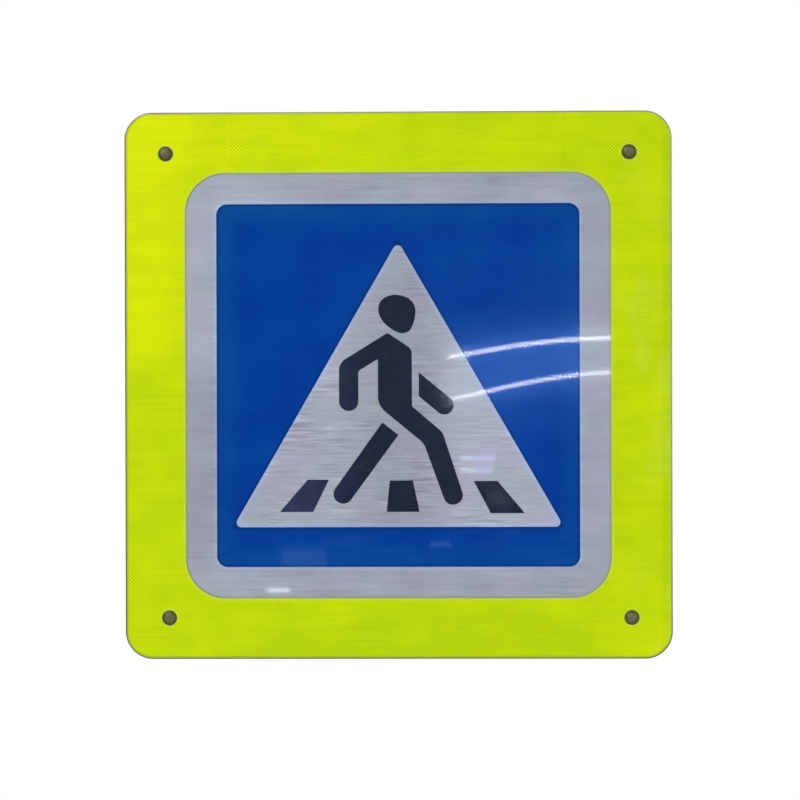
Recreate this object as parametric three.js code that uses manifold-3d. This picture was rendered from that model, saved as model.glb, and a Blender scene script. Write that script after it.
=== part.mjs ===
// Square pedestrian-crossing sign: a double-flanged sheet covered with reflective film and
// bolted to two slotted rails, which carry sliding clamps for a round post.
// Millimetres. X right, Z up, the sign faces -Y. The origin is on the axis of the post,
// halfway between the two clamps.

import * as THREE from 'three';
import { mergeVertices } from 'three/addons/utils/BufferGeometryUtils.js';
import Module from 'manifold-3d';

const wasm = await Module();
wasm.setup();

// ---- driving dimensions -------------------------------------------------------------

const board = { half: 450, corner: 45, sheet: 1, bend: 2, flangeEnd: -47, lip: 10, lipStart: 405 };
const fields = {
  yellow: { half: 448, corner: 43 },
  white: { half: 350, corner: 66 },
  blue: { half: 298.5, corner: 18 },
};
const triangle = { half: 272, base: -233, apex: 238.1, corner: 8 };

// Planes along Y, from the back of the sheet to the front of the printed films.
const plane = { back: -66, sheet: -67, yellow: -67.4, white: -67.8, print: -68 };

const bolt = { z: 382, r: 5, headR: 12.3, headRim: 0.8, headHeight: 5, neck: 10, neckLength: 3 };
const boltTail = -50;
const neckHole = 10.6;

const washer = { inner: 5.3, outer: 10, thick: 2 };
const nut = { acrossFlats: 17, thick: 8, bore: 5.3 };

const rail = { half: 410, width: 41, depth: 21, wall: 2, slot: 22, corner: 3 };
const railRear = plane.back + rail.depth;

const post = { r: 38 };
const clamp = { width: 40, wall: 3, boltX: 55, hole: 5.5 };
const cradle = { half: 65, earHalf: 36, earTop: -22, bend: 4 };
const hoop = { footHalf: 72, bend: 5 };
const tBolt = { headX: 18, headZ: 34, headThick: 6, tail: -18 };

// ---- materials ----------------------------------------------------------------------

function material(name, color, metalness, roughness) {
  return new THREE.MeshStandardMaterial({ name, color, metalness, roughness });
}

const sheetMetal = material('sheet_metal', 0xa9adb0, 0.8, 0.45);
const railMetal = material('rail_metal', 0x9da2a6, 0.8, 0.5);
const clampMetal = material('clamp_metal', 0x8f9498, 0.8, 0.55);
const fastenerMetal = material('fastener_metal', 0x6f7068, 0.85, 0.4);
const yellowFilm = material('yellow_film', 0xc8de10, 0, 0.4);
const whiteFilm = material('white_film', 0xaab0ba, 0, 0.4);
const blueFilm = material('blue_film', 0x0a3f97, 0, 0.25);
const blackFilm = material('black_film', 0x22273a, 0, 0.35);

// ---- outlines -----------------------------------------------------------------------

// Points along a closed outline whose corners [x, z, radius] are rounded by arcs.
function roundedOutline(corners, stepDegrees = 12) {
  const points = [];
  corners.forEach(([x, z, radius], i) => {
    const here = new THREE.Vector2(x, z);
    const before = corners[(i + corners.length - 1) % corners.length];
    const after = corners[(i + 1) % corners.length];
    const into = here.clone().sub(new THREE.Vector2(before[0], before[1])).normalize();
    const out = new THREE.Vector2(after[0], after[1]).sub(here).normalize();
    const turn = Math.atan2(into.cross(out), into.dot(out));
    const reach = radius * Math.tan(Math.abs(turn) / 2);
    const start = here.clone().addScaledVector(into, -reach);
    const side = Math.sign(turn);
    const centre = start.clone().add(new THREE.Vector2(-into.y, into.x).multiplyScalar(side * radius));
    const steps = Math.max(1, Math.ceil(THREE.MathUtils.radToDeg(Math.abs(turn)) / stepDegrees));
    for (let k = 0; k <= steps; k += 1) {
      points.push(start.clone().rotateAround(centre, (turn * k) / steps));
    }
  });
  return points;
}

function squareOutline(half, corner, stepDegrees = 9) {
  return roundedOutline(
    [[half, -half, corner], [half, half, corner], [-half, half, corner], [-half, -half, corner]],
    stepDegrees,
  );
}

// Outline of a strip of even thickness along an open centre line.
function stripOutline(line, thickness) {
  const sides = [[], []];
  line.forEach((point, i) => {
    const before = line[Math.max(i - 1, 0)];
    const after = line[Math.min(i + 1, line.length - 1)];
    const along = after.clone().sub(before).normalize();
    const normal = new THREE.Vector2(-along.y, along.x);
    sides[0].push(point.clone().addScaledVector(normal, thickness / 2));
    sides[1].push(point.clone().addScaledVector(normal, -thickness / 2));
  });
  return sides[0].concat(sides[1].reverse());
}

function arc(cx, cy, radius, startDegrees, endDegrees, steps) {
  const points = [];
  for (let i = 0; i <= steps; i += 1) {
    const angle = THREE.MathUtils.degToRad(startDegrees + ((endDegrees - startDegrees) * i) / steps);
    points.push(new THREE.Vector2(cx + radius * Math.cos(angle), cy + radius * Math.sin(angle)));
  }
  return points;
}

// ---- solids -------------------------------------------------------------------------

function extrude(outline, depth) {
  return new THREE.ExtrudeGeometry(new THREE.Shape(outline), { depth, bevelEnabled: false });
}

// An outline drawn in X and Z, extruded forwards (towards -Y) from the plane y = back.
function plateXZ(outline, back, front) {
  return extrude(outline, back - front).rotateX(Math.PI / 2).translate(0, back, 0);
}

// An outline drawn in X and Y, extruded upwards from the plane z = bottom.
function barXY(outline, bottom, top) {
  return extrude(outline, top - bottom).translate(0, 0, bottom);
}

// An outline drawn in Y and Z, extruded along X.
function barYZ(outline, left, right) {
  const turn = new THREE.Matrix4().makeBasis(
    new THREE.Vector3(0, 1, 0),
    new THREE.Vector3(0, 0, 1),
    new THREE.Vector3(1, 0, 0),
  );
  return extrude(outline, right - left).applyMatrix4(turn).translate(left, 0, 0);
}

// A profile of [radius, y] points turned about the Y axis.
function turned(profile, segments = 32) {
  return new THREE.LatheGeometry(profile.map(([r, y]) => new THREE.Vector2(r, y)), segments);
}

function box(x0, x1, y0, y1, z0, z1) {
  return new THREE.BoxGeometry(x1 - x0, y1 - y0, z1 - z0)
    .translate((x0 + x1) / 2, (y0 + y1) / 2, (z0 + z1) / 2);
}

// Rings of equal point count joined into one closed solid, capped at both ends.
function loftedSolid(rings) {
  const count = rings[0].length;
  const positions = rings.flat().flatMap(([x, y, z]) => [x, y, z]);
  const index = [];
  for (let r = 0; r < rings.length - 1; r += 1) {
    for (let i = 0; i < count; i += 1) {
      const a = r * count + i;
      const b = r * count + ((i + 1) % count);
      index.push(a, a + count, b, b, a + count, b + count);
    }
  }
  const cap = THREE.ShapeUtils.triangulateShape(rings[0].map(([x, , z]) => new THREE.Vector2(x, z)), []);
  const last = (rings.length - 1) * count;
  cap.forEach(([a, b, c]) => {
    index.push(a, b, c);
    index.push(last + a, last + c, last + b);
  });
  const geometry = new THREE.BufferGeometry();
  geometry.setAttribute('position', new THREE.Float32BufferAttribute(positions, 3));
  geometry.setIndex(index);
  return geometry;
}

// ---- joining and cutting ------------------------------------------------------------

function toManifold(geometry) {
  const bare = new THREE.BufferGeometry();
  bare.setAttribute('position', geometry.getAttribute('position').clone());
  bare.setIndex(geometry.getIndex());
  const merged = mergeVertices(bare, 1e-4);
  return new wasm.Manifold(new wasm.Mesh({
    numProp: 3,
    vertProperties: new Float32Array(merged.getAttribute('position').array),
    triVerts: new Uint32Array(merged.getIndex().array),
  }));
}

function fromManifold(solid) {
  const mesh = solid.getMesh();
  const geometry = new THREE.BufferGeometry();
  geometry.setAttribute('position', new THREE.Float32BufferAttribute(mesh.vertProperties, 3));
  geometry.setIndex(Array.from(mesh.triVerts));
  return geometry.toNonIndexed();
}

function join(...parts) {
  return fromManifold(parts.map(toManifold).reduce((sum, part) => sum.add(part)));
}

function cut(body, ...tools) {
  return fromManifold(tools.map(toManifold).reduce((left, tool) => left.subtract(tool), toManifold(body)));
}

function overlap(a, b) {
  return fromManifold(toManifold(a).intersect(toManifold(b)));
}

// ---- assembly -----------------------------------------------------------------------

const sign = new THREE.Group();
sign.name = 'signpost_sign';

function addPart(name, geometry, mat) {
  geometry.computeVertexNormals();
  const mesh = new THREE.Mesh(geometry, mat);
  mesh.name = name;
  sign.add(mesh);
}

// The holes are drilled by hand, so each has its own distance from the edge.
const boltPlaces = [
  { name: 'upper_left', x: -382, z: bolt.z },
  { name: 'upper_right', x: 380, z: bolt.z },
  { name: 'lower_left', x: -377.5, z: -bolt.z },
  { name: 'lower_right', x: 383, z: -bolt.z },
];

const clampPlaces = [
  { name: 'upper', z: bolt.z },
  { name: 'lower', z: -bolt.z },
];

// Square punched holes for the bolt necks, through everything between two planes.
function neckHoles(back, front) {
  const half = neckHole / 2;
  return boltPlaces.map(({ x, z }) => box(x - half, x + half, front - 1, back + 1, z - half, z + half));
}

// ---- the board ----------------------------------------------------------------------

// The section of the board's edge as [inset from the outer edge, y]: front face, bend,
// flange, rear bend, lip, and back along the inside.
function edgeSection() {
  const outer = board.bend;
  const inner = board.bend - board.sheet;
  const frontCentre = plane.sheet + outer;
  const rearCentre = board.flangeEnd - outer;
  const section = [];
  for (let i = 0; i <= 3; i += 1) {
    const a = (Math.PI / 2) * (i / 3);
    section.push([outer - outer * Math.sin(a), frontCentre - outer * Math.cos(a)]);
  }
  for (let i = 0; i <= 3; i += 1) {
    const a = (Math.PI / 2) * (i / 3);
    section.push([outer - outer * Math.cos(a), rearCentre + outer * Math.sin(a)]);
  }
  section.push([board.lip, board.flangeEnd]);
  section.push([board.lip, board.flangeEnd - board.sheet]);
  for (let i = 3; i >= 0; i -= 1) {
    const a = (Math.PI / 2) * (i / 3);
    section.push([outer - inner * Math.cos(a), rearCentre + inner * Math.sin(a)]);
  }
  for (let i = 3; i >= 0; i -= 1) {
    const a = (Math.PI / 2) * (i / 3);
    section.push([outer - inner * Math.sin(a), frontCentre - inner * Math.cos(a)]);
  }
  return section;
}

// The lip is cut away round the corners, where the flange alone follows the curve.
function cornerNotches() {
  const inside = board.half - board.sheet;
  const slab = plateXZ(
    squareOutline(inside, board.corner - board.sheet),
    board.flangeEnd + 1,
    board.flangeEnd - board.bend,
  );
  return boltPlaces.map(({ x, z }) => {
    const [x0, x1] = [board.lipStart, board.half + 5].map((v) => v * Math.sign(x)).sort((a, b) => a - b);
    const [z0, z1] = [board.lipStart, board.half + 5].map((v) => v * Math.sign(z)).sort((a, b) => a - b);
    return overlap(slab, box(x0, x1, board.flangeEnd - 5, board.flangeEnd + 5, z0, z1));
  });
}

function facePanel() {
  const rings = edgeSection().map(([inset, y]) => squareOutline(board.half - inset, board.corner - inset)
    .map((point) => [point.x, y, point.y]));
  return cut(loftedSolid(rings), ...cornerNotches(), ...neckHoles(plane.back, plane.sheet));
}

addPart('face_panel', facePanel(), sheetMetal);

// ---- the films ----------------------------------------------------------------------

function yellowSheet() {
  const { half, corner } = fields.yellow;
  const sheet = plateXZ(squareOutline(half, corner), plane.sheet, plane.yellow);
  return cut(sheet, ...neckHoles(plane.sheet, plane.yellow));
}

function triangleOutline() {
  const { half, base, apex, corner } = triangle;
  return roundedOutline([[half, base, corner], [0, apex, corner], [-half, base, corner]], 15);
}

function blueSheet() {
  const { half, corner } = fields.blue;
  const sheet = plateXZ(squareOutline(half, corner), plane.white, plane.print);
  return cut(sheet, plateXZ(triangleOutline(), plane.white + 1, plane.print - 1));
}

addPart('yellow_film', yellowSheet(), yellowFilm);
addPart(
  'white_film',
  plateXZ(squareOutline(fields.white.half, fields.white.corner), plane.yellow, plane.white),
  whiteFilm,
);
addPart('blue_film', blueSheet(), blueFilm);

// ---- the walking figure and the stripes -----------------------------------------------

// Head, seen from the side with the chin low and to the right.
const headPoints = [
  [-2, 148.7], [-13, 147.6], [-23, 143.3], [-29.5, 136], [-31.7, 128], [-31.4, 119],
  [-27.5, 109.5], [-20.8, 101], [-11.2, 93], [-2.4, 88], [7, 85.5], [15.5, 87.5],
  [21.6, 93.2], [26.2, 104], [28.6, 116], [28.6, 127], [23.5, 137.5], [13, 145.2],
];

// Each limb and stripe is a list of corners [x, z, radius].
const torsoArmLeg = [
  [-17.1, 86.3, 6],
  [-97, 37, 22],
  [-97, -42, 15.7],
  [-65.3, -42, 15.7],
  [-65.3, 23.5, 6],
  [-33, 43.5, 1.5],
  [-33, -33.5, 33],
  [42.5, -95.8, 28],
  [80.3, -200.6, 15.5],
  [110.1, -190.2, 15.5],
  [73, -77.4, 20],
  [23, -34.5, 2],
  [22.7, 59.5, 13],
];
const forwardArm = [
  [34.2, 21.2, 0.8],
  [34.2, -18.2, 3],
  [78, -54.4, 15],
  [97.4, -31, 15],
];
const rearLeg = [
  [-26, -61, 0.8],
  [-112.6, -182, 15.5],
  [-87, -200.6, 15.5],
  [0.5, -81.5, 0.8],
];
const stripes = {
  stripe_left: [[-149, -155, 0.8], [-195, -208, 0.8], [-140, -208, 0.8], [-114, -155, 0.8]],
  stripe_middle: [[-14, -156.5, 0.8], [-19, -208, 0.8], [35, -208, 0.8], [24, -156.5, 0.8]],
  stripe_right: [[124, -157.5, 0.8], [152, -210.5, 0.8], [208, -210.5, 0.8], [163, -157.5, 0.8]],
};

function headOutline() {
  const loop = headPoints.map(([x, z]) => new THREE.Vector3(x, z, 0));
  const curve = new THREE.CatmullRomCurve3(loop, true, 'centripetal');
  return curve.getPoints(headPoints.length * 3).slice(0, -1).map((p) => new THREE.Vector2(p.x, p.y));
}

function addPrint(name, outline) {
  addPart(name, plateXZ(outline, plane.white, plane.print), blackFilm);
}

addPrint('figure_head', headOutline());
addPrint('figure_body', roundedOutline(torsoArmLeg));
addPrint('figure_arm', roundedOutline(forwardArm));
addPrint('figure_leg', roundedOutline(rearLeg));
Object.entries(stripes).forEach(([name, corners]) => addPrint(name, roundedOutline(corners, 45)));

// ---- corner bolts -------------------------------------------------------------------

// Cup-head bolt with a square neck, its head on the film and its tail towards +Y.
function cornerBolt(x, z) {
  const seat = plane.yellow;
  const rim = seat - bolt.headRim;
  const rise = bolt.headHeight - bolt.headRim;
  const sphere = (bolt.headR ** 2 + rise ** 2) / (2 * rise);
  const dome = [];
  for (let i = 0; i <= 6; i += 1) {
    const r = bolt.headR * (i / 6);
    dome.push([r, rim + (sphere - rise) - Math.sqrt(sphere ** 2 - r ** 2)]);
  }
  const profile = [
    ...dome,
    [bolt.headR, seat],
    [bolt.r, seat],
    [bolt.r, boltTail - 1],
    [bolt.r - 1, boltTail],
    [0, boltTail],
  ];
  const half = bolt.neck / 2;
  const neck = box(-half, half, seat - 0.5, seat + bolt.neckLength, -half, half);
  return join(turned(profile), neck).translate(x, 0, z);
}

function washerRing(x, z, front) {
  const { inner, outer, thick } = washer;
  const back = front + thick;
  return turned([[inner, front], [outer, front], [outer, back], [inner, back], [inner, front]], 28)
    .translate(x, 0, z);
}

// Hexagon nut with chamfered corners, its front face on the plane y = front.
function hexNut(x, z, front) {
  const across = nut.acrossFlats / Math.sqrt(3);
  const back = front + nut.thick;
  const chamfer = 1.2;
  const prism = new THREE.CylinderGeometry(across, across, nut.thick, 6);
  prism.translate(0, front + nut.thick / 2, 0);
  const lens = turned([
    [0, front],
    [across - chamfer, front],
    [across, front + chamfer / 2],
    [across, back - chamfer / 2],
    [across - chamfer, back],
    [0, back],
  ], 24);
  const bore = turned([[0, front - 1], [nut.bore, front - 1], [nut.bore, back + 1], [0, back + 1]], 24);
  return cut(overlap(prism, lens), bore).translate(x, 0, z);
}

const webRear = plane.back + rail.wall;
boltPlaces.forEach(({ name, x, z }) => {
  addPart(`bolt_${name}`, cornerBolt(x, z), fastenerMetal);
  addPart(`washer_${name}`, washerRing(x, z, webRear), fastenerMetal);
  addPart(`nut_${name}`, hexNut(x, z, webRear + washer.thick), fastenerMetal);
});

// ---- rails --------------------------------------------------------------------------

// C section in Y and Z: web against the sheet, slot open to the rear.
function railSection() {
  const w = rail.width / 2;
  const s = rail.slot / 2;
  const t = rail.wall;
  const front = plane.back;
  return roundedOutline([
    [front, -w, rail.corner],
    [railRear, -w, rail.corner],
    [railRear, -s, 0.3],
    [railRear - t, -s, 0.3],
    [railRear - t, -w + t, rail.corner - t],
    [front + t, -w + t, rail.corner - t],
    [front + t, w - t, rail.corner - t],
    [railRear - t, w - t, rail.corner - t],
    [railRear - t, s, 0.3],
    [railRear, s, 0.3],
    [railRear, w, rail.corner],
    [front, w, rail.corner],
  ], 30);
}

function railBar(z) {
  const bar = barYZ(railSection(), -rail.half, rail.half).translate(0, 0, z);
  return cut(bar, ...neckHoles(webRear, plane.back));
}

clampPlaces.forEach(({ name, z }) => addPart(`${name}_rail`, railBar(z), railMetal));

// ---- post clamps --------------------------------------------------------------------

function clampHoles(z, front, back) {
  return [-clamp.boltX, clamp.boltX].map((x) => turned([
    [0, front - 1],
    [clamp.hole, front - 1],
    [clamp.hole, back + 1],
    [0, back + 1],
  ], 24).translate(x, 0, z));
}

const cradleRear = railRear + clamp.wall;

// Cradle: a base on the rail with two turned-up ears hollowed to the round of the post.
function cradlePlate(z) {
  const half = clamp.width / 2;
  const t = clamp.wall;
  const end = cradle.half;
  const base = plateXZ(
    roundedOutline([[end, -half, 5], [end, half, 5], [-end, half, 5], [-end, -half, 5]], 18),
    cradleRear,
    railRear,
  );
  const channel = barYZ(roundedOutline([
    [railRear, -half, cradle.bend],
    [railRear, half, cradle.bend],
    [cradle.earTop, half, 0.3],
    [cradle.earTop, half - t, 0.3],
    [cradleRear, half - t, cradle.bend - t],
    [cradleRear, -half + t, cradle.bend - t],
    [cradle.earTop, -half + t, 0.3],
    [cradle.earTop, -half, 0.3],
  ], 30), -cradle.earHalf, cradle.earHalf);
  const trimmedBase = cut(
    base,
    box(-cradle.earHalf, cradle.earHalf, railRear - 1, cradleRear + 1, -half - 1, -half + 8),
    box(-cradle.earHalf, cradle.earHalf, railRear - 1, cradleRear + 1, half - 8, half + 1),
  );
  const postRound = barXY(arc(0, 0, post.r, 0, 360, 72).slice(0, -1), -half - 1, half + 1);
  return cut(
    join(trimmedBase, channel).translate(0, 0, z),
    postRound.translate(0, 0, z),
    ...clampHoles(z, railRear, cradleRear),
  );
}

// Hoop: a strap with two feet, bent round the back of the post.
function hoopLine() {
  const mid = post.r + clamp.wall / 2;
  const footY = cradleRear + clamp.wall / 2;
  const left = [
    new THREE.Vector2(-hoop.footHalf, footY),
    ...arc(-mid - hoop.bend, footY + hoop.bend, hoop.bend, -90, 0, 5),
  ];
  const round = arc(0, 0, mid, 180, 0, 28);
  const right = left.map((point) => new THREE.Vector2(-point.x, point.y)).reverse();
  return [...left, ...round, ...right];
}

function hoopStrap(z) {
  const half = clamp.width / 2;
  const strap = barXY(stripOutline(hoopLine(), clamp.wall), z - half, z + half);
  return cut(strap, ...clampHoles(z, cradleRear, cradleRear + clamp.wall));
}

// Hammer-head bolt: two of its four head corners are rounded so it can turn in the rail.
function hammerBolt(x, z) {
  const halfX = tBolt.headX / 2;
  const halfZ = tBolt.headZ / 2;
  const seat = railRear - rail.wall;
  const head = plateXZ(roundedOutline([
    [halfX, -halfZ, 1],
    [halfX, halfZ, 8],
    [-halfX, halfZ, 1],
    [-halfX, -halfZ, 8],
  ], 18), seat, seat - tBolt.headThick);
  const shank = turned([
    [0, seat - 1],
    [bolt.r, seat - 1],
    [bolt.r, tBolt.tail - 1],
    [bolt.r - 1, tBolt.tail],
    [0, tBolt.tail],
  ]);
  return join(head, shank).translate(x, 0, z);
}

const hoopRear = cradleRear + clamp.wall;
clampPlaces.forEach(({ name, z }) => {
  addPart(`${name}_cradle`, cradlePlate(z), clampMetal);
  addPart(`${name}_hoop`, hoopStrap(z), clampMetal);
  [['left', -clamp.boltX], ['right', clamp.boltX]].forEach(([side, x]) => {
    addPart(`${name}_tbolt_${side}`, hammerBolt(x, z), fastenerMetal);
    addPart(`${name}_clamp_washer_${side}`, washerRing(x, z, hoopRear), fastenerMetal);
    addPart(`${name}_clamp_nut_${side}`, hexNut(x, z, hoopRear + washer.thick), fastenerMetal);
  });
});

export default sign;
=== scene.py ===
"""Square pedestrian-crossing sign on two slotted rails with hoop clamps for a round post."""
import math

import bmesh
import bpy
from mathutils import Matrix, Vector


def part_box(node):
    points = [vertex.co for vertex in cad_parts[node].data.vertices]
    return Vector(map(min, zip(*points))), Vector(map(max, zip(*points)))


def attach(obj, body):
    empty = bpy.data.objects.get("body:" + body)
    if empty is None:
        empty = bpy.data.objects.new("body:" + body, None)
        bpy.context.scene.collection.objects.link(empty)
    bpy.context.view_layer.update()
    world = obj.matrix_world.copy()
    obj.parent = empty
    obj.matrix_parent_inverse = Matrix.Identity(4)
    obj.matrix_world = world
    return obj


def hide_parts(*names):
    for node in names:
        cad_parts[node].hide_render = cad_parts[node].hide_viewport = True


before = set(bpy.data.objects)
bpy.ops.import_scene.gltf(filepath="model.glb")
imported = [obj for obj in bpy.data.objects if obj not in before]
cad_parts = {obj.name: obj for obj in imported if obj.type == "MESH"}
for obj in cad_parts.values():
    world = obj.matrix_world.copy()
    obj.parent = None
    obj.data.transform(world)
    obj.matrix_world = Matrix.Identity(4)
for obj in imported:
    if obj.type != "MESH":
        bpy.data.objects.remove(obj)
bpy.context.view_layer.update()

scene = bpy.context.scene

# ---- dimensions, in millimetres, as in the CAD model ----

MM = 0.001
BOARD = dict(half=450, corner=45, sheet=1, bend=2, flange_end=-47, lip=10)
YELLOW = dict(half=448, corner=43)
WHITE = dict(half=350, corner=66)
BLUE = dict(half=298.5, corner=18)
TRIANGLE = [(272, -233, 8), (0, 238.1, 8), (-272, -233, 8)]

Y_BACK, Y_SHEET, Y_YELLOW, Y_WHITE, Y_PRINT = -66, -67, -67.4, -67.8, -68

BOLT_R = 5
HEAD_R, HEAD_RIM, HEAD_HEIGHT = 12.3, 0.8, 5
NECK, NECK_LENGTH, NECK_HOLE, BOLT_TAIL = 10, 3, 10.6, -50
PITCH = 1.5
WASHER_IN, WASHER_OUT, WASHER_THICK = 5.3, 10, 2
NUT_FLATS, NUT_THICK, NUT_BORE = 17, 8, 5.3

RAIL_HALF, RAIL_WIDTH, RAIL_DEPTH, RAIL_WALL, RAIL_SLOT, RAIL_CORNER = 410, 41, 21, 2, 22, 3
RAIL_REAR = Y_BACK + RAIL_DEPTH
POST_R = 38
CLAMP_WIDTH, CLAMP_WALL, CLAMP_BOLT_X, CLAMP_HOLE = 40, 3, 55, 5.5
CRADLE_HALF, EAR_HALF, EAR_TOP, CRADLE_BEND = 65, 36, -22, 4
CRADLE_REAR = RAIL_REAR + CLAMP_WALL
HOOP_REAR = CRADLE_REAR + CLAMP_WALL
HOOP_FOOT, HOOP_BEND = 72, 5
TEE_X, TEE_Z, TEE_THICK, TEE_TAIL = 18, 34, 6, -18

# Widths of the films' sloping cut edges, and grids that let the flat parts ripple.
FILM_EDGE, PRINT_EDGE = 0.25, 0.12
PANEL_GRID, YELLOW_GRID, PRINT_GRID = 22.5, 28, 18
HOLE_CORNER = 0.6

# The studio floor, in metres.
FLOOR_Z, FLOOR_FADE, FLOOR_RADIUS = -1.25, 1.2, 4.2


def middle_of(node):
    """Where a CAD node's middle stands across the board, in millimetres."""
    low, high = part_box(node)
    return (low.x + high.x) / 2 / MM, (low.z + high.z) / 2 / MM


ROWS, SIDES = ("upper", "lower"), ("left", "right")
BOLTS = {f"{row}_{side}": middle_of(f"bolt_{row}_{side}") for row in ROWS for side in SIDES}
RAIL_Z = {row: middle_of(f"{row}_rail")[1] for row in ROWS}

# The walking figure as corners (x, z, radius), its head and the stripes as corners (x, z).
HEAD = [
    (-2, 148.7), (-13, 147.6), (-23, 143.3), (-29.5, 136), (-31.7, 128), (-31.4, 119),
    (-27.5, 109.5), (-20.8, 101), (-11.2, 93), (-2.4, 88), (7, 85.5), (15.5, 87.5),
    (21.6, 93.2), (26.2, 104), (28.6, 116), (28.6, 127), (23.5, 137.5), (13, 145.2),
]
TORSO_ARM_LEG = [
    (-17.1, 86.3, 6), (-97, 37, 22), (-97, -42, 15.7), (-65.3, -42, 15.7), (-65.3, 23.5, 6),
    (-33, 43.5, 1.5), (-33, -33.5, 33), (42.5, -95.8, 28), (80.3, -200.6, 15.5),
    (110.1, -190.2, 15.5), (73, -77.4, 20), (23, -34.5, 2), (22.7, 59.5, 13),
]
FORWARD_ARM = [(34.2, 21.2, 0.8), (34.2, -18.2, 3), (78, -54.4, 15), (97.4, -31, 15)]
REAR_LEG = [(-26, -61, 0.8), (-112.6, -182, 15.5), (-87, -200.6, 15.5), (0.5, -81.5, 0.8)]
STRIPES = {
    "stripe_left": [(-149, -155), (-195, -208), (-140, -208), (-114, -155)],
    "stripe_middle": [(-14, -156.5), (-19, -208), (35, -208), (24, -156.5)],
    "stripe_right": [(124, -157.5), (152, -210.5), (208, -210.5), (163, -157.5)],
}
STRIPE_CORNER = 0.8

# ---- shader helpers ----


class Nodes:
    """A node tree with short names for the nodes used here."""

    def __init__(self, tree, space):
        self.tree = tree
        self.place = self.node("TexCoord").outputs[space]

    def feed(self, socket, value):
        """Links a node's output to a socket, or sets a constant on it."""
        if isinstance(value, bpy.types.NodeSocket):
            self.tree.links.new(value, socket)
        else:
            socket.default_value = value

    def node(self, kind, inputs=None, **settings):
        made = self.tree.nodes.new("ShaderNode" + kind)
        for key, value in settings.items():
            setattr(made, key, value)
        for key, value in (inputs or {}).items():
            self.feed(made.inputs[key], value)
        return made

    def math(self, operation, *values, clamp=False):
        inputs = dict(enumerate(values))
        return self.node("Math", inputs, operation=operation, use_clamp=clamp).outputs[0]

    def add(self, a, b):
        return self.math("ADD", a, b)

    def minus(self, a, b):
        return self.math("SUBTRACT", a, b)

    def most(self, a, b):
        return self.math("MAXIMUM", a, b)

    def product(self, *values):
        result = values[0]
        for value in values[1:]:
            result = self.math("MULTIPLY", result, value)
        return result

    def swing(self, *values):
        """One plus the product of the values."""
        return self.add(1.0, self.product(*values))

    def away(self, value, centre=0.0):
        """How far a value is from a centre."""
        return self.math("ABSOLUTE", self.minus(value, centre))

    def length(self, a, b):
        """The length of the vector (a, b)."""
        return self.math("SQRT", self.add(self.product(a, a), self.product(b, b)))

    def spread(self, value, low, high, out_low=0, out_high=1, kind="LINEAR"):
        """Maps low..high to out_low..out_high and holds the value beyond the ends."""
        inputs = {"Value": value, "From Min": low, "From Max": high, "To Min": out_low, "To Max": out_high}
        return self.node("MapRange", inputs, interpolation_type=kind).outputs[0]

    def ease(self, *ranges):
        """The same map with soft ends."""
        return self.spread(*ranges, kind="SMOOTHSTEP")

    def between(self, mask, low, high):
        """Low where a mask is 0 and high where it is 1."""
        return self.spread(mask, 0, 1, low, high)

    def vary(self, noise, low, high):
        """The range of values that a noise gives to most of the surface."""
        return self.spread(noise, 0.3, 0.7, low, high)

    def noise(self, waves, detail=3, roughness=0.5, distortion=0.0, shift=(0, 0, 0), turn=(0, 0, 0)):
        """Noise with about so many waves per metre along x, y and z."""
        mapping = {"Vector": self.place, "Location": shift, "Rotation": turn, "Scale": waves}
        inputs = {"Vector": self.node("Mapping", mapping).outputs[0], "Scale": 1.0,
                  "Detail": detail, "Roughness": roughness, "Distortion": distortion}
        return self.node("TexNoise", inputs).outputs["Fac"]

    def crystals(self, vector, scale):
        """Flat cells with three random values each."""
        return self.split(self.node("TexVoronoi", {"Vector": vector, "Scale": scale}).outputs["Color"])

    def split(self, vector=None):
        return self.node("SeparateXYZ", {0: self.place if vector is None else vector}).outputs

    def mix(self, factor, a, b):
        """A mixture of two colours, each a node's output or three numbers."""
        a, b = ((*colour, 1) if isinstance(colour, tuple) else colour for colour in (a, b))
        return self.node("Mix", {"Factor": factor, 6: a, 7: b}, data_type="RGBA").outputs[2]

    def brighten(self, colour, factor):
        """Multiplies a colour by a grey factor that may be above one."""
        inputs = {0: colour, "Scale": factor}
        return self.node("VectorMath", inputs, operation="SCALE").outputs[0]

    def bump(self, height, distance, strength):
        inputs = {"Height": height, "Distance": distance, "Strength": strength}
        return self.node("Bump", inputs).outputs[0]


class Shader(Nodes):
    """A material whose sockets are named with underscores for spaces."""

    def __init__(self, name, **constants):
        self.material = bpy.data.materials.new(name)
        self.material.use_nodes = True
        super().__init__(self.material.node_tree, "Object")
        self.bsdf = self.tree.nodes["Principled BSDF"]
        self.set(**constants)

    def set(self, **sockets):
        """Links or sets the shader's sockets and hands back the material."""
        for name, value in sockets.items():
            self.feed(self.bsdf.inputs[name.replace("_", " ")], value)
        return self.material


def prism_cells(s, pitch):
    """Cells of prismatic film in diagonal rows, from -1 to 1."""
    x, _, z = s.split()
    wave = 2 * math.pi / pitch
    return s.product(s.math("SINE", s.product(x, wave)), s.math("SINE", s.product(z, wave)))


def seams(s, value, places):
    """Thin lines where a coordinate takes one of the given values in metres, from 0 to 1."""
    lines = 0.0
    for place in places:
        lines = s.most(lines, s.spread(s.away(value, place), 0, SEAM_WIDTH, 1, 0))
    return lines


def edge_distance(s, field):
    """Distance in metres from a rounded square's outline, negative inside it."""
    half, corner = field["half"] * MM, field["corner"] * MM
    x, _, z = s.split()
    past_x, past_z = (s.minus(s.away(value), half - corner) for value in (x, z))
    outside = s.length(s.most(past_x, 0.0), s.most(past_z, 0.0))
    inside = s.math("MINIMUM", s.most(past_x, past_z), 0.0)
    return s.minus(s.add(outside, inside), corner)


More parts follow.
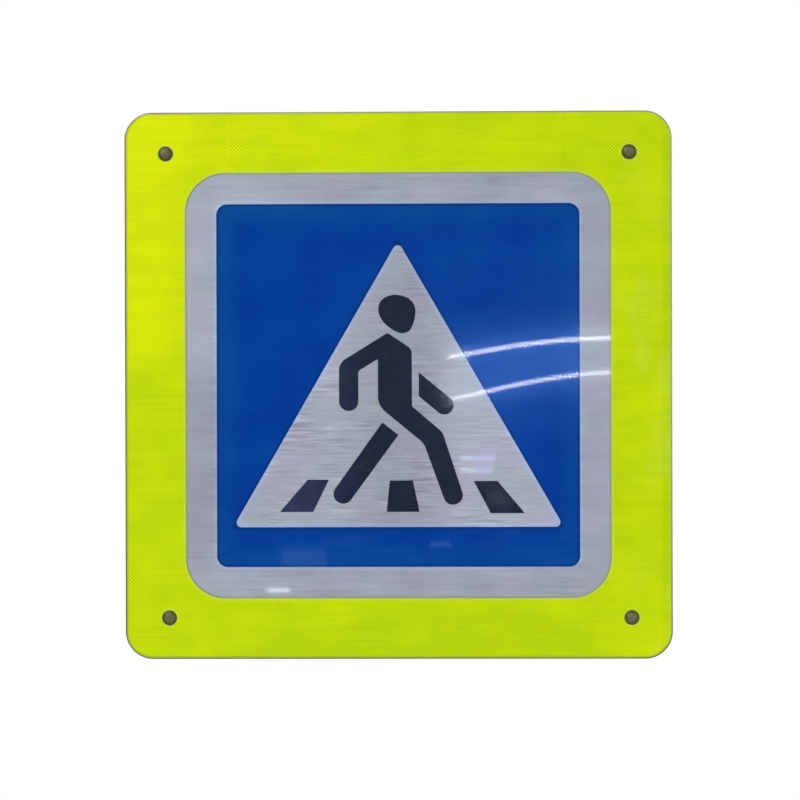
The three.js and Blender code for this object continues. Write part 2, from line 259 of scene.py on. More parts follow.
def triangle_distance(s):
    """Distance in metres from the triangular window's outline, positive inside it."""
    (half, base, corner), (_, apex, _) = TRIANGLE[:2]
    slope = Vector((apex - base, half)).normalized()
    soft = 3 * corner * MM
    x, _, z = s.split()
    height = s.minus(z, base * MM)
    drop = s.product(height, slope.y)
    left, right = (s.minus(s.product(s.math(sign, half * MM, x), slope.x), drop)
                   for sign in ("ADD", "SUBTRACT"))
    return s.math("SMOOTH_MIN", s.math("SMOOTH_MIN", left, right, soft), height, soft)


def bolt_distance(s):
    """Distance in metres from the nearest corner bolt's axis."""
    x, _, z = s.split()
    nearest = 1.0
    for bolt_x, bolt_z in BOLTS.values():
        reach = s.length(s.minus(x, bolt_x * MM), s.minus(z, bolt_z * MM))
        nearest = s.math("MINIMUM", reach, nearest)
    return nearest


# ---- materials ----

# In the materials, lengths and places are in metres; colours are linear.
SEAM_WIDTH = 0.0011
YELLOW_PRISM, WHITE_PRISM, BLUE_PRISM = 0.0060, 0.0056, 0.0078

YELLOW_TONES = dict(
    green=(0.445, 0.63, 0.001), warm=(0.655, 0.755, 0.0), rim=(0.47, 0.575, 0.055),
    beside_white=(0.52, 0.655, 0.075), pressed=(0.60, 0.72, 0.10), pale=(0.58, 0.71, 0.06))
WHITE_TONES = dict(
    violet=(0.396, 0.398, 0.498), grey=(0.372, 0.420, 0.485), beside_blue=(0.375, 0.450, 0.640),
    rim=(0.345, 0.40, 0.205), outline=(0.19, 0.21, 0.075))
BLUE_TONES = dict(
    deep=(0.0009, 0.0495, 0.342), teal=(0.0040, 0.0790, 0.333), reflected_wisp=(0.010, 0.084, 0.370),
    rim=(0.0045, 0.036, 0.200), sheen=(0.16, 0.38, 1.0, 1))


def warmth_and_painted_light(s, left, top):
    """Where the yellow film turns from green to a warmer, lighter yellow: painted light towards the top and
    left, over a random tone.
    """
    x, _, z = s.split()
    # Painted light: warmer and lighter towards the left and the top, where the light falls.
    warm = s.product(left, s.ease(z, -0.02, 0.09, 0, 0.55))
    warm = s.add(warm, s.product(top, s.spread(x, -0.30, 0.30, 0.30, 0.02)))
    low_middle = s.spread(s.away(x, 0.08), 0.20, 0.36, 0.30, 0.0)
    warm = s.minus(warm, s.product(s.spread(z, -0.42, -0.35, 1, 0), low_middle))
    warm = s.add(warm, s.vary(s.noise((13, 1, 17), 3, 0.55), 0.10, 0.54))
    warm = s.minus(warm, s.spread(x, 0.430, 0.436, 0, 0.30))
    low_right = s.product(s.spread(x, 0.33, 0.42), s.spread(z, -0.42, -0.34, 0.35, 0))
    return s.math("ADD", warm, low_right, clamp=True)


def yellow_shade(s, left, top, streaks, cells):
    """Rolled streaks, bands, joins between tiles and patches of prism cells, about one."""
    x, _, z = s.split()
    broken = s.spread(s.noise((11, 1, 19), 2, shift=(5, 0, 3)), 0.42, 0.62, 0.15, 1.0)
    shade = s.swing(s.vary(streaks, -0.048, 0.048), broken)
    bands = s.noise((5, 1, 42), 3, 0.6, shift=(1, 0, 2))
    shade = s.product(shade, s.vary(bands, 0.965, 1.035))

    upright = s.product(top, seams(s, s.away(x), [0.273]))
    level = s.most(s.product(left, seams(s, z, [0.241, -0.017, -0.193])),
                   s.product(s.spread(x, 0.33, 0.36), seams(s, z, [0.195, -0.193])))
    shade = s.product(shade, s.between(s.most(upright, level), 1.0, 0.91))

    low_left = s.product(left, s.spread(s.away(z, -0.17), 0.14, 0.20, 1.1, 0.1))
    zone = s.most(s.most(top, low_left), s.spread(x, 0.33, 0.38, 0.08, 0.5))
    patches = s.ease(s.noise((15, 1, 22)), 0.50, 0.64)
    return s.add(shade, s.product(cells, patches, zone, 0.24))


def yellow_film():
    """Fluorescent yellow-green film, paler at its edges and where the bolts press on it."""
    s = Shader("fluorescent prismatic film", Specular_IOR_Level=0.1, Emission_Strength=0.08)
    tones = YELLOW_TONES
    x, _, z = s.split()
    left = s.spread(x, -0.38, -0.30, 1, 0)
    top = s.spread(z, 0.33, 0.38)
    colour = s.mix(warmth_and_painted_light(s, left, top), tones["green"], tones["warm"])
    streaks = s.noise((7, 1, 250), 3, 0.6)
    cells = prism_cells(s, YELLOW_PRISM)
    shade = yellow_shade(s, left, top, streaks, cells)

    rim = s.ease(edge_distance(s, YELLOW), -0.0048, -0.0005)
    shaded_side = s.most(s.spread(x, -0.43, -0.42, 1, 0), s.spread(z, -0.43, -0.42, 1, 0))
    shade = s.product(shade, s.minus(1.0, s.product(rim, s.between(shaded_side, 0.05, 0.28))))
    colour = s.mix(s.product(rim, 0.75), colour, tones["rim"])
    beside_white = s.ease(edge_distance(s, WHITE), 0.0, 0.0055, 0.85, 0.0)
    colour = s.mix(beside_white, colour, tones["beside_white"])
    colour = s.mix(s.ease(bolt_distance(s), 0.0130, 0.0165, 0.5, 0.0), colour, tones["pressed"])

    # Painted haze of the lamp tubes' reflections: paler patches on the right, level with the tubes.
    pale = s.spread(s.noise((17, 1, 11), shift=(0, 0, 7)), 0.48, 0.66, 0, 0.34)
    pale = s.product(pale, s.spread(s.away(z, 0.03), 0.1, 0.25, 1, 0.3), s.spread(x, 0.35, 0.40))
    colour = s.brighten(s.mix(pale, colour, tones["pale"]), shade)
    relief = s.add(s.product(cells, 0.5), s.product(streaks, 2.0))
    return s.set(Base_Color=colour, Emission_Color=colour, Roughness=s.vary(streaks, 0.46, 0.54),
                 Normal=s.bump(relief, 0.00001, 0.5))


def white_shade(s, window, sides, dashes, cells):
    """Rolled dashes and prism clusters, stronger inside the window, bands and blotches, and painted light
    and shade, about one.
    """
    x, _, z = s.split()
    broken = s.spread(s.noise((14, 1, 20), 2, shift=(8, 0, 1)), 0.40, 0.64, 0.25, 1.2)
    depth = s.most(0.10, s.product(window, s.spread(s.add(x, z), -0.12, 0.02, 0.33, 0.21)))
    depth = s.product(depth, s.between(sides, 1.0, 0.45))
    shade = s.swing(s.spread(dashes, 0.25, 0.75, -1, 1), broken, depth)

    half_inside = s.between(window, 1.0, 0.5)
    bands = s.noise((2.2, 1, 70), 3, 0.6, shift=(3, 0, 1))
    shade = s.product(shade, s.swing(s.vary(bands, -1, 1), s.between(sides, 0.10, 0.03), half_inside))
    blotch = s.noise((10, 1, 15), 3, 0.55, shift=(0, 0, 4))
    shade = s.product(shade, s.swing(s.vary(blotch, -0.085, 0.09), half_inside))

    # Painted light and shade on the left: paler towards the top and bottom, darker just below the middle.
    painted_shading_left = s.spread(s.away(z, -0.14), 0.12, 0.19, -0.07, 0.11)
    shade = s.product(shade, s.swing(painted_shading_left, s.spread(x, -0.30, -0.05, 1, 0)))
    # Painted shade down the middle of the window, with painted light to either side.
    painted_shading_middle = s.spread(s.away(x, 0.004), 0.03, 0.11, -0.07, 0.12)
    shade = s.product(shade, s.swing(painted_shading_middle, window, s.spread(z, 0.15, 0.19, 1, 0)))
    clusters = s.ease(s.noise((34, 1, 42), 2, shift=(2, 0, 5)), 0.56, 0.64)
    return s.add(shade, s.product(cells, s.add(clusters, 0.10), s.between(window, 0.09, 0.24)))


def white_film():
    """Silvery film with a bluish halo beside the blue, a greenish edge beside the yellow and a painted
    shadow line along that edge.
    """
    s = Shader("white prismatic film", Coat_Weight=0.9, Coat_Roughness=0.03, Specular_IOR_Level=0.7)
    tones = WHITE_TONES
    x, _, z = s.split()
    wide, tall = s.away(x), s.away(z)
    window = s.spread(s.most(wide, tall), 0.290, 0.294, 1, 0)
    sides = s.spread(wide, 0.300, 0.310)
    dashes = s.noise((15, 1, 235), 2, 0.6)
    cells = prism_cells(s, WHITE_PRISM)
    hue = s.noise((7, 1, 12), 3, 0.6)
    colour = s.mix(s.spread(hue, 0.40, 0.60), tones["violet"], tones["grey"])

    halo = s.add(s.product(s.ease(edge_distance(s, BLUE), 0.0020, 0.0075, 1, 0), s.minus(1.0, window)),
                 s.product(s.ease(triangle_distance(s), 0.0025, 0.0085, 1, 0), window))
    colour = s.mix(s.product(halo, 0.9), colour, tones["beside_blue"])
    colour = s.brighten(colour, white_shade(s, window, sides, dashes, cells))

    edge = edge_distance(s, WHITE)
    colour = s.mix(s.ease(edge, -0.0045, -0.0008, 0.0, 0.9), colour, tones["rim"])
    # Painted shadow: a thin dark line along the film's edge, heaviest at the corners and weaker on the
    # right.
    corner = s.product(s.spread(wide, 0.285, 0.305), s.spread(tall, 0.285, 0.305))
    outline = s.product(s.ease(edge, -0.0024, -0.0010), s.between(corner, 0.30, 0.75),
                        s.spread(x, 0.20, 0.30, 1, 0.4))
    colour = s.mix(outline, colour, tones["outline"])
    normal = s.bump(s.add(cells, s.product(dashes, 0.9)), 0.0000006, 0.9)
    return s.set(Base_Color=colour, Roughness=s.vary(dashes, 0.18, 0.26), Normal=normal, Coat_Normal=normal)


def blue_film():
    """Glossy transparent blue, tealer towards its border, with painted reflections of lamps as pale wisps,
    strongest low down, and darker cut edges.
    """
    tones = BLUE_TONES
    s = Shader("blue overlay film", Coat_Weight=1.0, Coat_Roughness=0.018, Specular_IOR_Level=0.9,
               Specular_Tint=tones["sheen"])
    x, _, z = s.split()
    edge = edge_distance(s, BLUE)
    clouds = s.noise((9, 1, 12))
    border = s.ease(edge, -0.050, -0.010)
    teal = s.add(s.product(border, 0.45), s.spread(clouds, 0.35, 0.68, -0.05, 0.30))
    upper_left = s.product(border, s.spread(s.minus(z, x), 0.38, 0.56, 0, 0.45))
    colour = s.mix(s.math("ADD", teal, upper_left, clamp=True), tones["deep"], tones["teal"])
    # Painted reflections of lamps: pale wisps, strongest near the bottom.
    reflected_wisps = s.spread(s.noise((8, 1, 60), shift=(2, 0, 6)), 0.5, 0.68, 0, 0.5)
    colour = s.mix(s.product(reflected_wisps, s.spread(z, -0.27, -0.23, 1.0, 0.15)), colour, tones["reflected_wisp"])

    cells = prism_cells(s, BLUE_PRISM)
    patches = s.ease(s.noise((12, 1, 12), 2, shift=(4, 0, 2)), 0.45, 0.6, 0.2, 1.0)
    colour = s.brighten(colour, s.add(s.vary(clouds, 0.95, 1.05), s.product(cells, patches, 0.03)))
    rim = s.most(s.ease(edge, -0.0055, -0.0015), s.ease(triangle_distance(s), -0.0055, -0.0015))
    colour = s.mix(s.product(rim, 0.8), colour, tones["rim"])
    grain = s.noise((90, 1, 90), 1)
    normal = s.bump(s.add(cells, s.product(grain, 0.8)), 0.0000018, 0.9)
    return s.set(Base_Color=colour, Roughness=s.vary(clouds, 0.115, 0.15), Normal=normal,
                 Coat_Normal=normal)


def black_film():
    """Glossy black, with painted light making it paler towards the left of the board."""
    s = Shader("black overlay film", Coat_Weight=0.7, Coat_Roughness=0.05, Specular_IOR_Level=0.2)
    deep, pale = (0.0135, 0.0175, 0.0415), (0.0165, 0.0225, 0.0450)
    patch = s.noise((30, 1, 40), 4, 0.6)
    colour = s.mix(s.spread(patch, 0.35, 0.68), deep, pale)
    streaks = s.noise((9, 1, 300), 4)
    # Painted light: paler towards the left of the board, where the light falls; the streaks vary it.
    painted_shading = s.product(s.vary(streaks, 0.9, 1.12), s.spread(s.split()[0], -0.17, -0.05, 2.1, 1.0))
    normal = s.bump(s.product(patch, 6.0), 0.000012, 0.8)
    return s.set(Base_Color=s.brighten(colour, painted_shading), Roughness=s.vary(patch, 0.2, 0.3), Normal=normal,
                 Coat_Normal=normal)


def galvanised(name, tint, spangle, contrast, roughness, front_bend=False):
    """Zinc-coated steel with crystal spangle, dull patches and fine scratches."""
    s = Shader(name)
    dull = (0.70, 0.72, 0.72)
    drift = s.node("TexNoise", {"Vector": s.place, "Scale": 38, "Detail": 2}).outputs["Color"]
    warp = {0: s.place, 1: s.brighten(drift, 0.006)}
    warped = s.node("VectorMath", warp, operation="ADD").outputs[0]
    crystal, needle = s.crystals(warped, spangle)[0], s.crystals(warped, spangle * 2.7)[1]
    bloom = s.ease(s.noise((16, 16, 9), 6, 0.68, 0.6), 0.56, 0.72)
    scratch = s.noise((26, 900, 900), 2, turn=(0, 0.5, 0))
    shade = s.add(s.between(crystal, -contrast, contrast), s.between(needle, -0.03, 0.03))
    shade = s.add(shade, s.vary(s.noise((7, 7, 7), 4, 0.6), 0.92, 1.06))
    colour = s.brighten(s.mix(s.product(bloom, 0.38), tint, dull), shade)
    if front_bend:
        colour = shaded_bend(s, colour)
    rough = s.add(s.between(crystal, roughness - 0.06, roughness + 0.07), s.product(bloom, 0.16))
    rough = s.add(rough, s.spread(scratch, 0.35, 0.65, -0.04, 0.04))
    height = s.add(s.product(crystal, 0.35), s.product(scratch, 0.5))
    return s.set(Base_Color=colour, Roughness=rough, Metallic=s.between(bloom, 0.92, 0.55),
                 Normal=s.bump(height, 0.00003, 0.5))


def shaded_bend(s, colour):
    """Paints shade on the bare line of metal round the front of the board, lighter towards the upper right,
    where the light falls.
    """
    x, y, z = s.split()
    side = s.spread(edge_distance(s, BOARD), -0.0009, -0.0007)
    painted_shading = s.product(side, s.ease(y, -0.0650, -0.0635, 1, 0))
    painted_shading = s.most(painted_shading, s.spread(y, -0.0666, -0.0664, 1, 0))
    # Painted shade: dark at the lower left, lit at the upper right.
    dark, lit = (0.15, 0.15, 0.10), (0.33, 0.34, 0.24)
    return s.mix(painted_shading, colour, s.mix(s.spread(s.add(x, z), 0.0, 0.25), dark, lit))


def zinc_plated():
    """Dulled zinc plating; the cup heads are tarnished dark, with a painted shadow round their rim and a
    paler crown painted as lit.
    """
    s = Shader("dulled zinc plating")
    dulled, tarnish_and_rim_shadow, painted_shading = (0.42, 0.41, 0.36), (0.075, 0.078, 0.003), (0.165, 0.142, 0.080)
    _, y, _ = s.split()
    blotch = s.noise((240, 240, 240), 4, 0.6)
    # Painted light and shade on each cup head: darker round its rim, paler on its crown.
    crown = s.ease(s.add(y, s.vary(blotch, -0.0006, 0.0006)), -0.0714, -0.0704, 1, 0)
    front = s.spread(y, -0.0672, -0.0670, 1, 0)
    plain = s.brighten(dulled, s.vary(blotch, 0.85, 1.12))
    head = s.brighten(s.mix(crown, tarnish_and_rim_shadow, painted_shading), s.vary(blotch, 0.78, 1.18))
    return s.set(Base_Color=s.mix(front, plain, head), Metallic=s.between(front, 0.9, 0.4),
                 Roughness=s.vary(blotch, 0.46, 0.62), Normal=s.bump(blotch, 0.00005, 0.5))


def studio_floor():
    """Matt pale floor that fades out towards its rim."""
    s = Shader("pale studio floor", Roughness=0.85, Specular_IOR_Level=0.2)
    tone = s.noise((2, 2, 2), 5, 0.6)
    x, y, _ = s.split()
    return s.set(Base_Color=s.mix(tone, (0.78, 0.78, 0.775), (0.84, 0.84, 0.835)),
                 Alpha=s.ease(s.length(x, y), FLOOR_FADE, FLOOR_RADIUS, 1, 0))


FINISH = {
    "yellow_film": yellow_film(),
    "white_film": white_film(),
    "blue_film": blue_film(),
    "black_film": black_film(),
    "sheet_metal": galvanised("galvanised sheet", (0.60, 0.62, 0.635), 95, 0.10, 0.38, front_bend=True),
    "rail_metal": galvanised("galvanised rail", (0.53, 0.55, 0.57), 150, 0.07, 0.44),
    "clamp_metal": galvanised("galvanised clamp", (0.46, 0.48, 0.50), 210, 0.06, 0.48),
    "fastener_metal": zinc_plated(),
}

# ---- outlines ----


def left_of(heading):
    return Vector((-heading.y, heading.x))


def rounded(corners, step=6.0):
    """Closed outline whose corners (x, z, radius) are rounded by arcs."""
    points = []
    for i, (x, z, radius) in enumerate(corners):
        here = Vector((x, z))
        into = (here - Vector(corners[i - 1][:2])).normalized()
        out = (Vector(corners[(i + 1) % len(corners)][:2]) - here).normalized()
        turn = math.atan2(into.x * out.y - into.y * out.x, into.dot(out))
        start = here - into * (radius * math.tan(abs(turn) / 2))
        centre = start + left_of(into) * math.copysign(radius, turn)
        steps = max(1, math.ceil(math.degrees(abs(turn)) / step))
        for k in range(steps + 1):
            points.append(centre + Matrix.Rotation(turn * k / steps, 2) @ (start - centre))
    return points


def rectangle(u0, u1, v0, v1, corner, step=15):
    return rounded([(u1, v0, corner), (u1, v1, corner), (u0, v1, corner), (u0, v0, corner)], step)


def square(half, corner):
    return rectangle(-half, half, -half, half, corner, 4.5)


def circle(x, z, radius, count=32):
    """A clockwise circle, so that it reads as a hole."""
    return [Vector((x + radius * math.cos(-2 * math.pi * i / count),
                    z + radius * math.sin(-2 * math.pi * i / count))) for i in range(count)]


def square_hole(x, z, side):
    """A clockwise square, for the same reason."""
    h = side / 2
    return rectangle(x + h, x - h, z - h, z + h, HOLE_CORNER, 30)


def neck_holes():
    return [square_hole(x, z, NECK_HOLE) for x, z in BOLTS.values()]


def spline(points, steps):
    """A smooth closed curve through the points."""
    count = len(points)
    curve = []
    for i in range(count):
        p0, p1, p2, p3 = (Vector(points[(i + k) % count]) for k in (-1, 0, 1, 2))
        for k in range(steps):
            t = k / steps
            curve.append(0.5 * ((2 * p1) + (p2 - p0) * t + (2 * p0 - 5 * p1 + 4 * p2 - p3) * t * t
                                + (3 * p1 - p0 - 3 * p2 + p3) * t ** 3))
    return curve


def counter_clockwise(loop):
    area = sum(a.x * b.y - b.x * a.y for a, b in zip(loop, loop[1:] + loop[:1]))
    return loop if area > 0 else loop[::-1]


def inset(loop, distance):
    """Moves a loop into the material on its left."""
    moved = []
    for i, here in enumerate(loop):
        into = (here - loop[i - 1]).normalized()
        out = (loop[(i + 1) % len(loop)] - here).normalized()
        normal = (left_of(into) + left_of(out)).normalized()
        reach = distance / max(0.4, normal.dot(left_of(into)))
        moved.append(here + normal * reach)
    return moved


# ---- meshes ----


def new_object(name, data):
    made = bpy.data.objects.new(name, data)
    scene.collection.objects.link(made)
    return made


def mesh_object(name, bm, material):
    mesh = bpy.data.meshes.new(name)
    bm.to_mesh(mesh)
    bm.free()
    mesh.materials.append(material)
    return new_object(name, mesh)


def add_piece(name, bm, slot, body, replaced, smooth=32, bevel=0):
    """Turns a bmesh in millimetres into a finished piece that rides on its body."""
    bmesh.ops.remove_doubles(bm, verts=bm.verts, dist=1e-5)
    bmesh.ops.recalc_face_normals(bm, faces=bm.faces)
    bm.transform(Matrix.Scale(MM, 4))
    piece = mesh_object(name, bm, FINISH[slot])
    mesh = piece.data
    mesh.polygons.foreach_set("use_smooth", [True] * len(mesh.polygons))
    mesh.set_sharp_from_angle(angle=math.radians(smooth))
    if bevel:
        rounding = piece.modifiers.new("rounded edges", "BEVEL")
        rounding.width = bevel * MM
        rounding.segments = 2
        rounding.limit_method = "ANGLE"
        rounding.angle_limit = math.radians(50)
        rounding.harden_normals = True
    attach(piece, body)
    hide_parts(*replaced)
    return piece


def fill(bm, loops, normal):
    edges = [bm.edges.get(pair) or bm.edges.new(pair)
             for loop in loops for pair in zip(loop, loop[1:] + loop[:1])]
    bmesh.ops.triangle_fill(bm, use_beauty=True, use_dissolve=False, edges=edges, normal=normal)


def lay(bm, loops, y):
    return [[bm.verts.new((p.x, y, p.y)) for p in loop] for loop in loops]


def wall(bm, a, b):
    """Joins two closed rows of as many corners."""
    for i in range(len(a)):
        bm.faces.new((a[i - 1], a[i], b[i], b[i - 1]))


def stack(levels, cuts_x=(), cuts_z=()):
    """A flat solid from levels (loops, y): the first and last are filled, walls join the rest."""
    bm = bmesh.new()
    rows = [lay(bm, loops, y) for loops, y in levels]
    for lower, upper in zip(rows, rows[1:]):
        for a, b in zip(lower, upper):
            wall(bm, a, b)
    fill(bm, rows[0], (0, 1, 0))
    fill(bm, rows[-1], (0, -1, 0))
    cut_grid(bm, cuts_x, cuts_z)
    return bm


def cut_grid(bm, cuts_x, cuts_z):
    """Cuts a solid across at each x and z, so that it can bend there."""
    planes = [((x, 0, 0), (1, 0, 0)) for x in cuts_x] + [((0, 0, z), (0, 0, 1)) for z in cuts_z]
    for point, normal in planes:
        geometry = bm.verts[:] + bm.edges[:] + bm.faces[:]
        bmesh.ops.bisect_plane(bm, geom=geometry, dist=1e-4, plane_co=point, plane_no=normal)


def steps_between(low, high, spacing):
    count = round((high - low) / spacing)
    return [low + (high - low) * i / count for i in range(1, count)]


def fade(value, start, end):
    t = min(1.0, max(0.0, (abs(value) - start) / (end - start)))
    return 1 - t * t * (3 - 2 * t)


def ripple(x, z):
    """How far the thin sheet stands back from flat between the rails, in millimetres."""
    twist = -0.25 * math.sin(z / 190) * math.cos(math.pi * (x - 240) / 190)
    waves = 0.030 * math.sin(x / 71 + 0.6) * math.sin(z / 83 + 0.9) + 0.022 * math.sin(x / 118 - z / 64)
    return (twist + waves) * fade(x, 335, 430) * fade(z, 270, 352)


def front_normal(x, z):
    slope_x = (ripple(x + 1, z) - ripple(x - 1, z)) / 2
    slope_z = (ripple(x, z + 1) - ripple(x, z - 1)) / 2
    return Vector((slope_x, -1, slope_z)).normalized()


def apply_ripple(bm):
    for v in bm.verts:
        v.co.y += ripple(v.co.x, v.co.z)


def smooth_front(piece):
    """Gives the rippled front face exact normals, so that its reflections flow."""
    mesh = piece.data
    normals = []
    for polygon in mesh.polygons:
        for i in polygon.loop_indices:
            x, _, z = (c / MM for c in mesh.vertices[mesh.loops[i].vertex_index].co)
            faces_front = polygon.normal.y < -0.98
            normals.append(front_normal(x, z) if faces_front else polygon.normal.copy())
    mesh.normals_split_custom_set(normals)


# ---- films ----


def add_film(name, outer, holes, back, front, slot, edge, grid):
    """A film whose cut edge slopes over a short width, laid on the rippled sheet."""
    loops = [counter_clockwise(outer), *holes]
    shoulder = back + (front - back) * 0.25
    top = [inset(loop, edge) for loop in loops]
    across, upward = [p.x for p in outer], [p.y for p in outer]
    cuts = [steps_between(min(values), max(values), grid) for values in (across, upward)]
    bm = stack([(loops, back), (loops, shoulder), (top, front)], *cuts)
    apply_ripple(bm)
    piece = add_piece(f"{name}_sheet", bm, slot, "sign_board", [name])
    smooth_front(piece)


def add_films():
    add_film("yellow_film", square(**YELLOW), neck_holes(), Y_SHEET, Y_YELLOW, "yellow_film", FILM_EDGE,
             YELLOW_GRID)
    add_film("white_film", square(**WHITE), [], Y_YELLOW, Y_WHITE, "white_film", FILM_EDGE, PRINT_GRID)
    window = counter_clockwise(rounded(TRIANGLE))[::-1]
    add_film("blue_film", square(**BLUE), [window], Y_WHITE, Y_PRINT, "blue_film", PRINT_EDGE, PRINT_GRID)
    prints = {
        "figure_head": spline(HEAD, 6),
        "figure_body": rounded(TORSO_ARM_LEG),
        "figure_arm": rounded(FORWARD_ARM),
        "figure_leg": rounded(REAR_LEG),
    }
    for name, corners in STRIPES.items():
        prints[name] = rounded([(x, z, STRIPE_CORNER) for x, z in corners], 30)
    for name, outline in prints.items():
        add_film(name, outline, [], Y_WHITE, Y_PRINT, "black_film", PRINT_EDGE, PRINT_GRID)


# ---- face panel ----


def arc_pairs(cx, cy, radius, start, end, steps):
    """Points (inset, y) on an arc in the plane of the board's edge section."""
    angles = [math.radians(start + (end - start) * i / steps) for i in range(steps + 1)]
    return [(cx + radius * math.cos(a), cy + radius * math.sin(a)) for a in angles]


def edge_sections(steps=5):
    """The edge's section twice, with its return lip and, for the corners, without."""
    bend, sheet, end, lip = BOARD["bend"], BOARD["sheet"], BOARD["flange_end"], BOARD["lip"]
    front, rear = Y_SHEET + bend, end - bend
    outer_front = arc_pairs(bend, front, bend, 270, 180, steps)
    inner_front = arc_pairs(bend, front, bend - sheet, 180, 270, steps)
    outer_rear = arc_pairs(bend, rear, bend, 180, 90, steps)
    inner_rear = arc_pairs(bend, rear, bend - sheet, 90, 180, steps)
    tip = arc_pairs(lip - sheet / 2, end - sheet / 2, sheet / 2, 90, -90, 4)
    with_lip = outer_front + outer_rear + tip + inner_rear + inner_front
    rise = [rear + (end - 0.5 - rear) * i / steps for i in range(steps + 1)]
    crown = arc_pairs(sheet / 2, end - 0.5, sheet / 2, 180, 0, len(tip) - 1)
    without = (outer_front + [(0, y) for y in rise] + crown
               + [(sheet, y) for y in reversed(rise)] + inner_front)
    return with_lip, without


def perimeter():
    """Samples round the board: corner centre signs, direction, and whether the lip is there."""
    samples = []
    for sx, sz, start in ((1, -1, -90), (1, 1, 0), (-1, 1, 90), (-1, -1, 180)):
        angles = [0, 0.04] + [90 * i / 16 for i in range(1, 16)] + [89.96, 90]
        for angle in angles:
            a = math.radians(start + angle)
            samples.append((sx, sz, math.cos(a), math.sin(a), angle in (0, 90)))
    return samples


def add_panel():
    """The sheet, swept round its edge section and closed by the front and back of the face."""
    bm = bmesh.new()
    with_lip, without = edge_sections()
    centre = BOARD["half"] - BOARD["corner"]
    samples = perimeter()
    rings = []
    for lipped, plain in zip(with_lip, without):
        ring = []
        for sx, sz, cx, cz, has_lip in samples:
            depth, y = lipped if has_lip else plain
            reach = BOARD["corner"] - depth
            ring.append(bm.verts.new((sx * centre + cx * reach, y, sz * centre + cz * reach)))
        rings.append(ring)
    holes = neck_holes()
    front, back = lay(bm, holes, Y_SHEET), lay(bm, holes, Y_BACK)
    for a, b in [*zip(rings, rings[1:]), *zip(front, back)]:
        wall(bm, a, b)
    fill(bm, [rings[0], *front], (0, -1, 0))
    fill(bm, [rings[-1], *back], (0, 1, 0))
    cuts = steps_between(-BOARD["half"], BOARD["half"], PANEL_GRID)
    cut_grid(bm, cuts, cuts)
    apply_ripple(bm)
    add_piece("face_panel_sheet", bm, "sheet_metal", "sign_board", ["face_panel"])


# ---- turned parts ----


def turned(bm, rows, x, z, columns=48, closed=False):
    """Rows (y, radius) about an axis along Y; a radius may depend on the angle."""
    rings = []
    for y, radius in rows:
        if radius == 0:
            rings.append([bm.verts.new((x, y, z))])
            continue
        ring = []
        for i in range(columns):
            a = 2 * math.pi * i / columns
            r = radius(a) if callable(radius) else radius
            ring.append(bm.verts.new((x + r * math.cos(a), y, z + r * math.sin(a))))
        rings.append(ring)
    pairs = list(zip(rings, rings[1:])) + ([(rings[-1], rings[0])] if closed else [])
    for a, b in pairs:
        for i in range(columns):
            ends = [ring[k % len(ring)] for ring, k in ((a, i - 1), (a, i), (b, i), (b, i - 1))]
            bm.faces.new(list(dict.fromkeys(ends)))


def thread_rows(start, end, radius, tip=1.2):
    """Rows of a threaded shank from start to end, with a chamfered end."""
    depth = 0.61 * PITCH
    direction = 1 if end > start else -1
    length = abs(end - start)
    count = round(length / PITCH * 8)
    rows = []
    for i in range(count + 1):
        along = length * i / count
        run_in = min(1.0, along / PITCH)
        limit = radius - max(0.0, tip - (length - along)) * 0.9

        def at(angle, along=along, run_in=run_in, limit=limit):
            phase = (along / PITCH - angle / (2 * math.pi)) % 1.0
            groove = min(1.0, max(0.0, 1.25 - abs(phase - 0.5) * 2.9))
            return min(limit, radius - depth * groove * run_in)

        rows.append((start + direction * along, at))
    return rows + [(end, 0)]


def square_section(side, corner=1.0):
    """Radius of a square bar with slightly rounded corners, by angle."""
    half = side / 2
    widest = half * math.sqrt(2) - corner * 0.41

    def at(angle):
        return min(half / max(abs(math.cos(angle)), abs(math.sin(angle))), widest)

    return at


def add_cup_bolt(name, x, z):
    """Cup head, square neck and threaded shank, turned as one."""
    seat = Y_YELLOW
    rim = seat - HEAD_RIM
    rise = HEAD_HEIGHT - HEAD_RIM
    sphere = (HEAD_R ** 2 + rise ** 2) / (2 * rise)
    rows = [(seat - HEAD_HEIGHT, 0)]
    for i in range(1, 12):
        r = HEAD_R * i / 12
        rows.append((rim + sphere - rise - math.sqrt(sphere ** 2 - r ** 2), r))
    rows += [(rim - 0.18, HEAD_R - 0.28), (rim + 0.05, HEAD_R - 0.06), (rim + 0.3, HEAD_R)]
    rows += [(seat - 0.15, HEAD_R), (seat, HEAD_R - 0.15)]
    neck_end = seat + NECK_LENGTH
    neck = square_section(NECK)
    rows += [(seat, neck), (neck_end - 0.4, neck), (neck_end, square_section(NECK - 0.8))]
    rows += [(neck_end, BOLT_R), (neck_end + 0.5, BOLT_R)]
    rows += thread_rows(neck_end + 0.6, BOLT_TAIL, BOLT_R)
    bm = bmesh.new()
    turned(bm, rows, x, z)
    add_piece(f"bolt_{name}_turned", bm, "fastener_metal", "sign_board", [f"bolt_{name}"], smooth=38)


def add_washer(node, body, x, z, front):
    back = front + WASHER_THICK
    e = 0.2
    rim = [(0, WASHER_OUT - 2 * e), (e, WASHER_OUT - 0.1), (2 * e, WASHER_OUT)]
    rows = [(front + e, WASHER_IN), (front, WASHER_IN + e)]
    rows += [(front + depth, radius) for depth, radius in rim]
    rows += [(back - depth, radius) for depth, radius in reversed(rim)]
    rows += [(back, WASHER_IN + e), (back - e, WASHER_IN)]
    bm = bmesh.new()
    turned(bm, rows, x, z, closed=True)
    add_piece(f"{node}_stamped", bm, "fastener_metal", body, [node], smooth=50)


